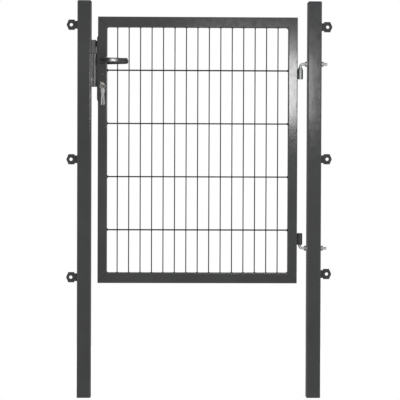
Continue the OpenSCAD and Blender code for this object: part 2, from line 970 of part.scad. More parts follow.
// Key that hangs by its hole on the ring's lowest part, leaning out to one side
module ring_key(side) {
    spread = (key_t / 2 / cos(key_fan) + hole_in * sin(key_fan) + slip) / cos(key_swivel);
    outer = spread + key_t / 2;
    wire_z = ring_z - sqrt(ring_d * ring_d / 4 - outer * outer);
    hang = (bow_hole_d - ring_wire) / 2 - key_fit;
    color(zinc)
        translate([ring_x + side * spread, key_hole_y, wire_z - hang])
            rotate([0, -side * key_fan, 0])
                rotate([0, 0, key_swivel])
                    upright_key(hanging_key_l);
}

latch_post();
hinge_post();
latch_post_cap();
hinge_post_cap();
latch_lug(latch_lug_low_z);  // latch_lug_low
latch_lug(latch_lug_middle_z);  // latch_lug_middle
latch_lug(latch_lug_top_z);  // latch_lug_top
hinge_lug(hinge_lug_low_z);  // hinge_lug_low
hinge_lug(hinge_lug_middle_z);  // hinge_lug_middle
hinge_lug(hinge_lug_top_z);  // hinge_lug_top
keeper();
upper_hook();
lower_hook();
hinge_nuts(upper_rod_z);  // upper_hinge_nuts
hinge_nuts(lower_rod_z);  // lower_hinge_nuts
hinge_washers(upper_rod_z);  // upper_hinge_washers
hinge_washers(lower_rod_z);  // lower_hinge_washers
latch_stile();
hinge_stile();
top_rail();
bottom_rail();
mesh_panel();
upper_sleeve();
lower_sleeve();
lock_strip();
lock_case();
lock_bolts();
dead_bolt();
front_lever_rose();
rear_lever_rose();
key_barrel();
key_in_barrel();
key_ring();
ring_key(-1);  // left_key
ring_key(1);  // right_key
latch_bolt();
spindle();
front_lever();
rear_lever();
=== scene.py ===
"""Dresses a single mesh fence gate: powder coat, zinc, welds, levers, lock and keys.

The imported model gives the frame. The classes below put a finish on each of its
nodes and add the small parts that a maker would add last, such as weld beads,
threads and screws. Then the studio lights it. Lengths are in metres.
"""

from __future__ import annotations

import logging
import math
import random
from dataclasses import dataclass
from enum import Enum
from typing import Iterable

import bmesh
import bpy
from mathutils import Matrix, Vector


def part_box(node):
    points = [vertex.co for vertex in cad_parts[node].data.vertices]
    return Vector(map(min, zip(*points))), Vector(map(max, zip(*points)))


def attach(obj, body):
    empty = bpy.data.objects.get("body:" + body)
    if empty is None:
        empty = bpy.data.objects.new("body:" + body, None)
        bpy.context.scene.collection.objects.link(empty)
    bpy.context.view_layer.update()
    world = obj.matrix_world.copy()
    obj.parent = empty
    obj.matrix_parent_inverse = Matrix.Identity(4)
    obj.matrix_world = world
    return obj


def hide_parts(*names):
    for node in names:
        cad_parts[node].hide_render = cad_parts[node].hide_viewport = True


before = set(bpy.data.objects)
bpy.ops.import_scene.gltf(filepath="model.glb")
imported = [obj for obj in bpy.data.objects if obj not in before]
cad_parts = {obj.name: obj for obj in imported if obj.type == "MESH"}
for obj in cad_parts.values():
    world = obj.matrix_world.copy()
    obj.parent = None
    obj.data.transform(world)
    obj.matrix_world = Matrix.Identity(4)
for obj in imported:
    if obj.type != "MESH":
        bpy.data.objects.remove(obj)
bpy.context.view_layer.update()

log = logging.getLogger("gate")

Colour = tuple[float, float, float]
Reach = tuple[float, float]
Socket = bpy.types.NodeSocket
Shape = bmesh.types.BMesh
Face = bmesh.types.BMFace
Corner = bmesh.types.BMVert

# Values of a noise pattern between which most of it lies
PATTERN_LOW, PATTERN_HIGH = 0.3, 0.7
# Layers of a fine noise pattern
FINE_DETAIL = 3.0
# Refraction of lacquer and nylon
LACQUER_IOR = 1.5
# Edges that turn by more than this stay sharp on new pieces
SHARP_ANGLE = math.radians(38)
# Sides of the rings that nuts and screw heads grow from
RING_SIDES = 48


class Body(Enum):
    """The gate's bodies that new pieces ride on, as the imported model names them."""

    POSTS = "posts"
    LEAF = "leaf"


class Slot(Enum):
    """Names of the record's material slots; no piece here takes them."""

    PAINT = "paint"
    ZINC = "zinc"


class Side(Enum):
    """The two sides of the gate, as the posts' and lugs' nodes name them."""

    LATCH = "latch"
    HINGE = "hinge"


class Level(Enum):
    """The levels of the lugs on a post, as their nodes name them."""

    LOW = "low"
    MIDDLE = "middle"
    TOP = "top"


class Hinge(Enum):
    """The two hook hinges, as their nodes name them."""

    UPPER = "upper"
    LOWER = "lower"


class Axis(Enum):
    """The axes of the gate's frame, each with its place in a vector."""

    X = 0
    Y = 1
    Z = 2


# ---- Finishes ----


class Graph:
    """Node tree of one material, with short ways to add and join nodes."""

    def __init__(self, name: str) -> None:
        """Starts a material with its shader and object coordinates.

        Args:
            name: The material's name.
        """
        self.material = bpy.data.materials.new(name)
        self.material.use_nodes = True
        self.nodes = self.material.node_tree.nodes
        self.links = self.material.node_tree.links
        self.shader = self.nodes["Principled BSDF"]
        self.place = self.nodes.new("ShaderNodeTexCoord").outputs["Object"]

    def stretched(self, scale: tuple[float, float, float]) -> Socket:
        """Object coordinates scaled along each axis.

        Args:
            scale: Factor along X, Y and Z.

        Returns:
            The Mapping node's output.
        """
        node = self.nodes.new("ShaderNodeMapping")
        node.inputs["Scale"].default_value = scale
        self.links.new(self.place, node.inputs["Vector"])
        return node.outputs["Vector"]

    def noise(self, scale: float, detail: float = 2.0, place: Socket | None = None) -> Socket:
        """A noise pattern.

        Args:
            scale: Waves per metre.
            detail: Number of finer layers.
            place: Coordinates to read, or None for the object's own.

        Returns:
            The pattern's value, about 0 to 1.
        """
        node = self.nodes.new("ShaderNodeTexNoise")
        node.inputs["Scale"].default_value = scale
        node.inputs["Detail"].default_value = detail
        self.links.new(place or self.place, node.inputs["Vector"])
        return node.outputs["Fac"]

    def spread(self, value: Socket, low: float, high: float) -> Socket:
        """Maps a pattern's middle range to low and high.

        Args:
            value: Pattern to read.
            low: Result where the pattern is low.
            high: Result where it is high.

        Returns:
            The mapped value.
        """
        node = self.nodes.new("ShaderNodeMapRange")
        node.inputs["From Min"].default_value = PATTERN_LOW
        node.inputs["From Max"].default_value = PATTERN_HIGH
        node.inputs["To Min"].default_value = low
        node.inputs["To Max"].default_value = high
        self.links.new(value, node.inputs["Value"])
        return node.outputs["Result"]

    def tones(self, value: Socket, low: Colour, high: Colour) -> Socket:
        """Colours between two tones by a pattern.

        Args:
            value: Pattern to read.
            low: Linear colour where the pattern is low.
            high: Linear colour where it is high.

        Returns:
            The colour.
        """
        node = self.nodes.new("ShaderNodeValToRGB")
        first, last = node.color_ramp.elements
        first.position, last.position = PATTERN_LOW, PATTERN_HIGH
        first.color, last.color = (*low, 1.0), (*high, 1.0)
        self.links.new(value, node.inputs["Fac"])
        return node.outputs["Color"]

    def both(self, first: Socket, second: Socket) -> Socket:
        """Multiplies two masks, so that only what lies in both is left.

        Args:
            first: One mask.
            second: The other mask.

        Returns:
            The product.
        """
        product = self.nodes.new("ShaderNodeMath")
        product.operation = "MULTIPLY"
        self.links.new(first, product.inputs[0])
        self.links.new(second, product.inputs[1])
        return product.outputs["Value"]

    def window(self, reach: Reach, fade: float, axis: Axis) -> Socket:
        """A mask that is 1 over a stretch of one axis and fades out at both its ends.

        Args:
            reach: Lowest and highest place of the stretch.
            fade: Length over which each end fades.
            axis: Axis that the stretch runs along.

        Returns:
            The mask's value.
        """
        split = self.nodes.new("ShaderNodeSeparateXYZ")
        self.links.new(self.place, split.inputs["Vector"])
        rims = []
        for start, stop in ((reach[0], reach[0] + fade), (reach[1], reach[1] - fade)):
            rim = self.nodes.new("ShaderNodeMapRange")
            rim.interpolation_type = "SMOOTHSTEP"
            rim.inputs["From Min"].default_value = min(start, stop)
            rim.inputs["From Max"].default_value = max(start, stop)
            rim.inputs["To Min"].default_value = 0.0 if start < stop else 1.0
            rim.inputs["To Max"].default_value = 1.0 if start < stop else 0.0
            self.links.new(split.outputs[axis.name], rim.inputs["Value"])
            rims.append(rim.outputs["Result"])
        return self.both(rims[0], rims[1])

    def blend(self, share: Socket, base: Socket, over: Colour) -> Socket:
        """Lays a colour over another by a mask.

        Args:
            share: Mask, 0 for the base and 1 for the colour over it.
            base: Colour below.
            over: Linear colour on top.

        Returns:
            The mixed colour.
        """
        node = self.nodes.new("ShaderNodeMixRGB")
        node.inputs["Color2"].default_value = (*over, 1.0)
        self.links.new(share, node.inputs["Fac"])
        self.links.new(base, node.inputs["Color1"])
        return node.outputs["Color"]

    def bump(self, height: Socket, depth: float, under: Socket | None = None) -> Socket:
        """Relief from a pattern.

        Args:
            height: Pattern that stands for the height.
            depth: Depth of the relief in metres.
            under: Normal of a relief below this one.

        Returns:
            The bent normal.
        """
        node = self.nodes.new("ShaderNodeBump")
        node.inputs["Distance"].default_value = depth
        self.links.new(height, node.inputs["Height"])
        if under is not None:
            self.links.new(under, node.inputs["Normal"])
        return node.outputs["Normal"]

    def wire(self, socket: str, value: Socket) -> None:
        """Joins a value to one of the shader's sockets."""
        self.links.new(value, self.shader.inputs[socket])

    def fix(self, socket: str, value: float) -> None:
        """Sets one of the shader's sockets to a constant."""
        self.shader.inputs[socket].default_value = value


def shaded(colour: Colour, factor: float) -> Colour:
    """Scales a linear colour by a factor."""
    return (colour[0] * factor, colour[1] * factor, colour[2] * factor)


@dataclass(frozen=True)
class PaintedLightStripes:
    """Stripes across X painted brighter than the finish round them, as painted highlight and painted
    sheen.
    """

    stripes: tuple[Reach, ...]
    tone: float
    fade: float
    height: Reach | None = None

    def over(self, graph: Graph, tone: Socket) -> Socket:
        """Lays the stripes over a colour.

        Args:
            graph: Material that takes the stripes.
            tone: Colour of the finish below.

        Returns:
            The colour with the stripes on it.
        """
        for stripe in self.stripes:
            share = graph.window(stripe, self.fade, Axis.X)
            if self.height is not None:
                share = graph.both(share, graph.window(self.height, self.fade, Axis.Z))
            # Each stripe blends the colour to a lighter tone: painted highlight and sheen
            tone = graph.blend(share, tone, (self.tone, self.tone, self.tone))
        return tone


@dataclass(frozen=True)
class Finish:
    """What every finish has: a name, a colour and how rough it is."""

    name: str
    colour: Colour
    roughness: float

    def dress(self, graph: Graph) -> None:
        """Adds the finish's own nodes; each kind of finish has its own."""
        raise NotImplementedError

    def material(self) -> bpy.types.Material:
        """The finish's material, made the first time that it is asked for.

        Returns:
            The material.
        """
        made = bpy.data.materials.get(self.name)
        if made is None:
            graph = Graph(self.name)
            self.dress(graph)
            made = graph.material
        return made


@dataclass(frozen=True)
class PowderCoat(Finish):
    """Baked powder paint with its fine orange peel. Scales are waves per metre."""

    peel: float = 0.00003
    peel_scale: float = 420.0
    grain_share: float = 0.3
    grain_scale: float = 2600.0
    sheen: float = 0.5
    mottle: float = 0.1
    mottle_scale: float = 5.0
    uneven: float = 0.02
    uneven_scale: float = 45.0

    def dress(self, graph: Graph) -> None:
        """Mottles the tone a little and adds the peel and a finer grain.

        Args:
            graph: Material to dress.
        """
        patch = graph.noise(self.mottle_scale, FINE_DETAIL)
        low, high = shaded(self.colour, 1.0 - self.mottle), shaded(self.colour, 1.0 + self.mottle)
        graph.wire("Base Color", graph.tones(patch, low, high))
        smooth, dull = self.roughness - self.uneven, self.roughness + self.uneven
        graph.wire("Roughness", graph.spread(graph.noise(self.uneven_scale), smooth, dull))
        coarse = graph.bump(graph.noise(self.peel_scale), self.peel)
        grain = graph.bump(graph.noise(self.grain_scale), self.peel * self.grain_share, coarse)
        graph.wire("Normal", grain)
        graph.fix("IOR", LACQUER_IOR)
        graph.fix("Specular IOR Level", self.sheen)


@dataclass(frozen=True)
class Metal(Finish):
    """Bare or plated metal, with streaks along one axis and cloudy patches."""

    streak: tuple[float, float, float] = (1.0, 1.0, 1.0)
    streak_scale: float = 900.0
    relief: float = 0.00001
    cloud: float = 0.12
    cloud_scale: float = 90.0
    metallic: float = 1.0
    # Roughness of the smoothest and the dullest streaks, as shares of the finish's own
    smoothest: float = 0.75
    dullest: float = 1.3
    painted_light: PaintedLightStripes | None = None

    def dress(self, graph: Graph) -> None:
        """Streaks the sheen, clouds the colour and adds any painted highlight stripes.

        Args:
            graph: Material to dress.
        """
        lines = graph.noise(self.streak_scale, FINE_DETAIL, graph.stretched(self.streak))
        patch = graph.noise(self.cloud_scale, FINE_DETAIL)
        low, high = shaded(self.colour, 1.0 - self.cloud), shaded(self.colour, 1.0 + self.cloud / 2)
        tone = graph.tones(patch, low, high)
        # Painted highlight stripes, where the finish has them
        if self.painted_light is not None:
            tone = self.painted_light.over(graph, tone)
        graph.wire("Base Color", tone)
        smooth, dull = self.roughness * self.smoothest, self.roughness * self.dullest
        graph.wire("Roughness", graph.spread(lines, smooth, dull))
        graph.wire("Normal", graph.bump(lines, self.relief))
        graph.fix("Metallic", self.metallic)


@dataclass(frozen=True)
class Plastic(Finish):
    """Moulded plastic, polished or grained."""

    grain: float = 0.00001
    grain_scale: float = 1500.0
    mottle: float = 0.15
    mottle_scale: float = 60.0
    uneven: float = 0.2
    uneven_scale: float = 140.0
    polish: float = 0.0
    polish_roughness: float = 0.13
    painted_light: PaintedLightStripes | None = None

    def dress(self, graph: Graph) -> None:
        """Adds the mould's grain, a faint uneven sheen and any painted sheen stripes.

        Args:
            graph: Material to dress.
        """
        low, high = shaded(self.colour, 1.0 - self.mottle), shaded(self.colour, 1.0 + self.mottle)
        tone = graph.tones(graph.noise(self.mottle_scale), low, high)
        # Painted sheen stripes, where the finish has them
        if self.painted_light is not None:
            tone = self.painted_light.over(graph, tone)
        graph.wire("Base Color", tone)
        patch = graph.noise(self.uneven_scale, FINE_DETAIL)
        smooth, dull = self.roughness * (1.0 - self.uneven), self.roughness * (1.0 + self.uneven)
        graph.wire("Roughness", graph.spread(patch, smooth, dull))
        graph.wire("Normal", graph.bump(graph.noise(self.grain_scale), self.grain))
        graph.fix("IOR", LACQUER_IOR)
        graph.fix("Coat Weight", self.polish)
        graph.fix("Coat Roughness", self.polish_roughness)


KEEPER_LOW, KEEPER_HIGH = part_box("keeper")
LEVER_LOW, LEVER_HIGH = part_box("front_lever")

# Painted highlight: two light stripes on the keeper's two ridges below its square pad, for the light
# that their rounded edges catch
RIDGE_PAINTED_HIGHLIGHT = PaintedLightStripes(
    stripes=(
        (KEEPER_LOW.x - 0.0015, KEEPER_LOW.x + 0.0050),
        (KEEPER_LOW.x + 0.0140, KEEPER_LOW.x + 0.0208),
    ),
    tone=0.55,
    fade=0.0015,
    height=(KEEPER_LOW.z - 0.006, KEEPER_HIGH.z - 0.059),
)
# Painted sheen: a lighter band along the levers' blades, for the broad sheen on their fronts
BLADE_PAINTED_SHEEN = PaintedLightStripes(stripes=((LEVER_LOW.x + 0.042, LEVER_HIGH.x - 0.007),), tone=0.045, fade=0.012)

PAINT = PowderCoat("anthracite_powder_coat", (0.070, 0.071, 0.073), 0.11, peel=0.000013)
# The frame's powder coat, much darker on the wires and their crossing welds: painted shade
SHADED_WIRE_PAINT = PowderCoat("powder_coat_on_wire_with_painted_shade", (0.014, 0.014, 0.0145), 0.34, sheen=0.2)
WELD_PAINT = PowderCoat("powder_coat_over_weld", (0.048, 0.049, 0.051), 0.22, peel=0.00006)
# The keeper's steel carries the painted highlight stripes on its ridges
KEEPER_STEEL = Metal(
    "anthracite_keeper_steel", (0.14, 0.14, 0.142), 0.40, streak=(1.0, 1.0, 0.02),
    relief=0.000002, cloud=0.05, painted_light=RIDGE_PAINTED_HIGHLIGHT,
)
ZINC = Metal("bright_zinc", (0.50, 0.51, 0.52), 0.42, streak=(1.0, 1.0, 0.2))
# The same zinc, painted lighter on the hooks and their threads: painted light
LIT_ROD_ZINC = Metal("zinc_on_rods_with_painted_light", (0.74, 0.75, 0.76), 0.42, streak=(1.0, 1.0, 0.2))
LOCK_STEEL = Metal("satin_lock_steel", (0.28, 0.28, 0.29), 0.32, streak=(0.2, 1.0, 1.0))
BOLT_STEEL = Metal("blackened_bolt_steel", (0.22, 0.22, 0.23), 0.30)
# Nickelled brass for the key barrel, kept much darker than the bright nickel
BRASS = Metal("dark_nickelled_brass", (0.20, 0.185, 0.15), 0.34, streak=(1.0, 0.2, 1.0))
NICKEL = Metal(
    "bright_nickel", (0.92, 0.91, 0.89), 0.38, streak=(1.0, 1.0, 0.3), cloud=0.05, metallic=0.5
)
CAP = Plastic("cap_plastic", (0.032, 0.034, 0.036), 0.45, grain=0.00004, grain_scale=900.0)
# The black nylon carries the painted sheen band on the levers' blades
NYLON = Plastic(
    "polished_black_nylon", (0.006, 0.006, 0.007), 0.20, grain=0.000001, grain_scale=900.0,
    polish=0.8, painted_light=BLADE_PAINTED_SHEEN,
)

NODE_FINISH: tuple[tuple[Finish, tuple[str, ...]], ...] = (
    (
        PAINT,
        (
            "latch_post", "hinge_post", "latch_lug_low", "latch_lug_middle", "latch_lug_top",
            "hinge_lug_low", "hinge_lug_middle", "hinge_lug_top", "latch_stile",
            "hinge_stile", "top_rail", "bottom_rail", "lower_sleeve", "lock_strip",
        ),
    ),
    (SHADED_WIRE_PAINT, ("mesh_panel",)),
    (LIT_ROD_ZINC, ("upper_hook", "lower_hook")),
    (ZINC, ("upper_hinge_washers", "lower_hinge_washers", "upper_sleeve")),
    (KEEPER_STEEL, ("keeper",)),
    (LOCK_STEEL, ("lock_case", "dead_bolt", "latch_bolt", "spindle")),
    (BRASS, ("key_barrel",)),
    (NICKEL, ("key_in_barrel", "key_ring", "left_key", "right_key")),
    (CAP, ("latch_post_cap", "hinge_post_cap")),
    (NYLON, ("front_lever", "rear_lever", "front_lever_rose", "rear_lever_rose")),
)


def coat(obj: bpy.types.Object, finish: Finish) -> None:
    """Puts one finish on an object, in all its material slots.

    Args:
        obj: Object to dress.
        finish: Finish to put on it.
    """
    if not obj.material_slots:
        obj.data.materials.append(finish.material())
    for place in obj.material_slots:
        place.material = finish.material()


@dataclass
class CarriedNodes:
    """All nodes that come over from the solid model and stay."""

    finishes: tuple[tuple[Finish, tuple[str, ...]], ...] = NODE_FINISH

    def dress(self) -> None:
        """Puts each node's finish on it."""
        for finish, names in self.finishes:
            for name in names:
                coat(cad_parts[name], finish)
            log.info("%s on %s", finish.name, ", ".join(names))


# ---- Shared ways to make a piece ----


def middle(low: Vector, high: Vector) -> Vector:
    """The point halfway between two corners."""
    return (low + high) / 2


def piece(name: str, shape: Shape, finish: Finish, body: Body) -> bpy.types.Object:
    """Makes an object of a finished shape and lets it ride on its body.

    Args:
        name: The piece's name.
        shape: Its shape, which is used up.
        finish: Its finish.
        body: Body that it moves with.

    Returns:
        The new object.
    """
    bmesh.ops.recalc_face_normals(shape, faces=shape.faces)
    mesh = bpy.data.meshes.new(name)
    shape.to_mesh(mesh)
    shape.free()
    mesh.materials.append(finish.material())
    mesh.shade_smooth()
    mesh.set_sharp_from_angle(angle=SHARP_ANGLE)
    obj = bpy.data.objects.new(name, mesh)
    bpy.context.scene.collection.objects.link(obj)
    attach(obj, body.value)
    log.info("%s rides on %s, %d faces", name, body.value, len(mesh.polygons))
    return obj


def along(start: Vector, way: Vector) -> Matrix:
    """Matrix that lays local Z along a direction, with its origin at start."""
    return Matrix.Translation(start) @ way.to_track_quat("Z", "Y").to_matrix().to_4x4()


def disc(shape: Shape, sides: int, radius: float, place: Matrix) -> Face:
    """Adds a filled ring that a form can grow from.

    Args:
        shape: Shape that takes the ring.
        sides: Number of its sides.
        radius: Its radius.
        place: Matrix that puts it in its place.

    Returns:
        The ring's face.
    """
    made = bmesh.ops.create_circle(shape, cap_ends=True, segments=sides, radius=radius, matrix=place)
    return made["verts"][0].link_faces[0]


def grow(shape: Shape, face: Face) -> tuple[Face, list[Corner]]:
    """Extrudes one face in place, without leaving the old face inside the form.

    Args:
        shape: Shape that holds the face.
        face: Face to extrude. A lone face stays, as the closed base of a new form.

    Returns:
        The new face and its corners.
    """
    base = all(len(edge.link_faces) == 1 for edge in face.edges)
    made = bmesh.ops.extrude_face_region(shape, geom=[face])["geom"]
    corners = [part for part in made if isinstance(part, Corner)]
    top = next(part for part in made if isinstance(part, Face))
    if not base and face.is_valid:
        bmesh.ops.delete(shape, geom=[face], context="FACES_ONLY")
    return top, corners


def pull(shape: Shape, face: Face, shift: Vector, scale: float, centre: Vector) -> Face:
    """Extrudes one face, shifts it and scales it about its new centre.

    Args:
        shape: Shape that holds the face.
        face: Face to extrude.
        shift: Move of the new face.
        scale: Factor on the new face's size.
        centre: Centre of the face before the move.

    Returns:
        The new face.
    """
    top, corners = grow(shape, face)
    bmesh.ops.translate(shape, vec=shift, verts=corners)
    spot = centre + shift
    bmesh.ops.scale(shape, vec=(scale, scale, scale), verts=corners, space=Matrix.Translation(-spot))
    return top


def to_hexagon(corners: Iterable[Corner], centre: Vector, axis: Axis, flats: float) -> None:
    """Moves a ring of points onto a hexagon.

    Args:
        corners: Points of the ring.
        centre: The ring's centre.
        axis: Axis that the ring turns about.
        flats: Width across the hexagon's flats.
    """
    first, second = [side.value for side in Axis if side is not axis]
    for corner in corners:
        angle = math.atan2(corner.co[second] - centre[second], corner.co[first] - centre[first])
        from_flat = (angle + math.pi / 6) % (math.pi / 3) - math.pi / 6
        reach = flats / 2 / math.cos(from_flat)
        corner.co[first] = centre[first] + reach * math.cos(angle)
        corner.co[second] = centre[second] + reach * math.sin(angle)


@dataclass
class Bead:
    """A run of weld metal, with the ripples of its passes."""

    start: Vector
    end: Vector
    radius: float = 0.003
    ripple: float = 0.16
    sides: int = 8
    # Length of one pass and size of the first and last rings, as shares of the radius
    pass_share: float = 0.9
    foot_share: float = 0.55
    tip_share: float = 0.5
    # How far a ring strays, as a share of the ripple
    stray_share: float = 0.6

    def lay(self, shape: Shape, dice: random.Random) -> None:
        """Adds the bead to a shape.

        Args:
            shape: Shape that takes the bead.
            dice: Source of its uneven ripples.
        """
        way = self.end - self.start
        steps = 2 * max(2, round(way.length / (self.radius * self.pass_share)))
        stride = way / steps
        face = disc(shape, self.sides, self.radius * self.foot_share, along(self.start, way))
        size, spot = self.foot_share, self.start.copy()
        for step in range(steps):
            swell = 1.0 + dice.uniform(-self.ripple, self.ripple) * self.stray_share
            goal = swell if step % 2 == 0 else swell - self.ripple
            if step == steps - 1:
                goal = self.tip_share
            face = pull(shape, face, stride, goal / size, spot)
            spot = spot + stride
            size = goal


@dataclass
class Blob:
    """One drop of weld metal."""

    place: Vector
    size: tuple[float, float, float]
    uneven: float = 0.12
    turn: float = 0.25
    meridians: int = 8
    rings: int = 5

    def lay(self, shape: Shape, dice: random.Random) -> None:
        """Adds the drop to a shape, a little uneven.

        Args:
            shape: Shape that takes the drop.
            dice: Source of its uneven size and turn.
        """
        swell = dice.uniform(1.0 - self.uneven, 1.0 + self.uneven)
        turn = Matrix.Rotation(dice.uniform(-self.turn, self.turn), 4, "Y")
        stretch = Matrix.Diagonal((*(side * swell for side in self.size), 1.0))
        bmesh.ops.create_uvsphere(
            shape, u_segments=self.meridians, v_segments=self.rings, radius=1.0,
            matrix=Matrix.Translation(self.place) @ turn @ stretch,
        )


@dataclass
class Nut:
    """Hexagon nut round a level rod along X, with both rims chamfered."""

    centre: Vector
    flats: float
    thickness: float
    chamfer: float = 0.0012
    rim_share: float = 0.985

    def cut(self, shape: Shape) -> None:
        """Adds the nut to a shape, from one rim to the other.

        Args:
            shape: Shape that takes the nut.
        """
        base = self.centre - Vector((self.thickness / 2, 0.0, 0.0))
        rim_r = self.flats / 2 * self.rim_share
        face = disc(shape, RING_SIDES, rim_r, along(base, Vector((1.0, 0.0, 0.0))))
        stages = (
            (self.chamfer, True), (self.thickness - 2 * self.chamfer, True), (self.chamfer, False)
        )
        for length, six in stages:
            face, corners = grow(shape, face)
            bmesh.ops.translate(shape, vec=(length, 0.0, 0.0), verts=corners)
            if six:
                to_hexagon(corners, self.centre, Axis.X, self.flats)
            else:
                self.round_off(corners, rim_r)

    def round_off(self, corners: Iterable[Corner], radius: float) -> None:
        """Moves a ring of points back onto a circle.

        Args:
            corners: Points of the ring.
            radius: The circle's radius.
        """
        for corner in corners:
            spoke = Vector((corner.co.y - self.centre.y, corner.co.z - self.centre.z))
            spoke = spoke.normalized() * radius
            corner.co.y, corner.co.z = self.centre.y + spoke.x, self.centre.z + spoke.y


@dataclass
class Thread:
    """Screw thread along +X, as one ridge wound round the rod."""

    start: Vector
    length: float
    root: float
    crest: float
    pitch: float = 0.00175
    flank_share: float = 0.42
    steps: int = 20

    def cut(self, shape: Shape) -> None:
        """Winds the ridge and adds it to a shape.

        Args:
            shape: Shape that takes the thread.
        """
        turns = int(self.length / self.pitch) - 1
        half = self.pitch * self.flank_share
        corners = [
            shape.verts.new(self.start + Vector((x, 0.0, z)))
            for x, z in ((0.0, self.root), (half, self.crest), (2 * half, self.root))
        ]
        face = shape.faces.new(corners)
        bmesh.ops.spin(
            shape, geom=[face, *face.edges, *corners], cent=self.start, axis=(1.0, 0.0, 0.0),
            dvec=(self.pitch / self.steps, 0.0, 0.0), angle=math.tau * turns,
            steps=self.steps * turns, use_duplicate=False, use_merge=False,
        )


@dataclass
class SocketHead:
    """Round screw head that faces -Y, with a domed rim and a hexagon socket."""

    centre: Vector
    radius: float
    height: float
    socket: float
    depth: float
    wall_share: float = 0.45
    dome_in: float = 0.24

    def stages(self) -> list[tuple[float, float]]:
        """Works out how the head rises, up its wall and over its dome.

        Returns:
            Each stage's length, and its size as a share of the radius.
        """
        wall = self.height * self.wall_share
        dome = self.height - wall
        steps = [(wall, 1.0)]
        for low, high in ((0, 30), (30, 60), (60, 90)):
            rise = dome * (math.sin(math.radians(high)) - math.sin(math.radians(low)))
            steps.append((rise, 1.0 - self.dome_in * (1.0 - math.cos(math.radians(high)))))
        return steps

    def turn(self, shape: Shape) -> None:
        """Adds the head to a shape, from its seat outwards.

        Args:
            shape: Shape that takes the head.
        """
        seat = along(self.centre, Vector((0.0, -1.0, 0.0)))
        face, spot, size = disc(shape, RING_SIDES, self.radius, seat), self.centre.copy(), 1.0
        for length, goal in self.stages():
            shift = Vector((0.0, -length, 0.0))
            face = pull(shape, face, shift, goal / size, spot)
            spot, size = spot + shift, goal
        face, corners = grow(shape, face)
        to_hexagon(corners, self.centre, Axis.Y, self.socket)
        face, corners = grow(shape, face)
        bmesh.ops.translate(shape, vec=(0.0, self.depth, 0.0), verts=corners)


# ---- Sub-assemblies ----


@dataclass
class LugWelds:
    """Weld beads that hold the lugs to their posts."""

    upright_r: float = 0.0026
    level_r: float = 0.00234
    # Half of the foot's height, as a share of the lug's
    foot_share: float = 0.37
    seed: int = 11

    def build(self) -> None:
        """Lays the beads of all the lugs, one piece for each post."""
        dice = random.Random(self.seed)
        faces = {Side.LATCH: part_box("latch_post")[0].x, Side.HINGE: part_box("hinge_post")[1].x}
        for side, face_x in faces.items():
            shape = bmesh.new()
            for level in Level:
                self.foot(shape, dice, f"{side.value}_lug_{level.value}", face_x)
            piece(f"{side.value}_lug_welds", shape, WELD_PAINT, Body.POSTS)

    def foot(self, shape: Shape, dice: random.Random, lug: str, face_x: float) -> None:
        """Lays a bead along each of the four sides of one lug's foot.

        Args:
            shape: Shape that takes the beads.
            dice: Source of their uneven ripples.
            lug: The lug's node.
            face_x: X of the post's face that the lug stands on.
        """
        low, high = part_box(lug)
        centre, half = middle(low, high), (high.z - low.z) * self.foot_share
        bottom, top = centre.z - half, centre.z + half
        for y in (low.y, high.y):
            start, end = Vector((face_x, y, bottom)), Vector((face_x, y, top))
            Bead(start, end, self.upright_r).lay(shape, dice)
        for z in (bottom, top):
            start, end = Vector((face_x, low.y, z)), Vector((face_x, high.y, z))
            Bead(start, end, self.level_r).lay(shape, dice)


